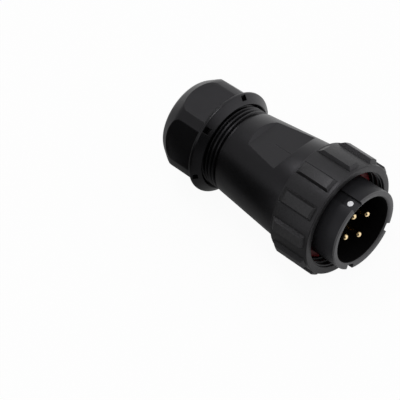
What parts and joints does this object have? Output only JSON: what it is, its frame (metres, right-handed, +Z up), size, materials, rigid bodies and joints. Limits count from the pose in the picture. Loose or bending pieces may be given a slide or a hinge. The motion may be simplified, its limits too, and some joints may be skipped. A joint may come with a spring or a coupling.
{
  "type": "waterproof circular connector plug",
  "caption": "Waterproof circular cable plug with gold pins in a keyed barrel, a ribbed free-turning coupling nut, a red face seal, a tapered back shell and a hex cable gland.",
  "frame": {"origin": "on the table, under the middle of the plug's bounding box", "axes": "+X towards the mating end, +Z up; the plug's axis lies in the XZ plane and rises towards the mating end by 3.33 degrees"},
  "size_m": [0.0742, 0.0396, 0.0401],
  "materials": {
    "black_plastic": "satin, finely textured",
    "shell_plastic": "satin",
    "insert_plastic": "matt",
    "red_rubber": "glossy",
    "rubber": "matt",
    "white_dot": "matt paint",
    "gold_contact": "polished gold plate",
    "screw_brass": "plain"
  },
  "bodies": {
    "plug_body": {"clamp_collet": "insert_plastic", "cable_seal": "rubber", "back_shell": "black_plastic", "body_o_ring": "rubber", "interface_seal": "red_rubber", "plug_shell": "shell_plastic", "index_dot": "white_dot", "insert_seal": "rubber", "pin_insert": "insert_plastic", "insert_retainer": "insert_plastic", "contact_pin_1": "gold_contact", "contact_pin_2": "gold_contact", "contact_pin_3": "gold_contact", "contact_pin_4": "gold_contact", "terminal_screws": "screw_brass"},
    "coupling_nut": {"coupling_nut": "black_plastic"},
    "gland_slide": {"thrust_ring": "insert_plastic"},
    "gland_nut": {"gland_nut": "black_plastic"}
  },
  "joints": [
    {"name": "coupling_spin", "type": "hinge", "parent": "plug_body", "child": "coupling_nut", "pos_m": [0.02247, 0, 0.02003], "axis": [0.9983, 0, 0.058], "continuous": true},
    {"name": "gland_travel", "type": "slide", "parent": "plug_body", "child": "gland_slide", "axis": [0.9983, 0, 0.058], "range_m": [-0.0054, 0.0018]},
    {"name": "gland_turn", "type": "hinge", "parent": "gland_slide", "child": "gland_nut", "pos_m": [-0.02805, 0, 0.01709], "axis": [0.9983, 0, 0.058], "range_deg": [-1296, 432]}
  ],
  "couplings": [
    {"joint": "gland_travel", "follows": "gland_turn", "m_per_rad": 0.00023873}
  ]
}
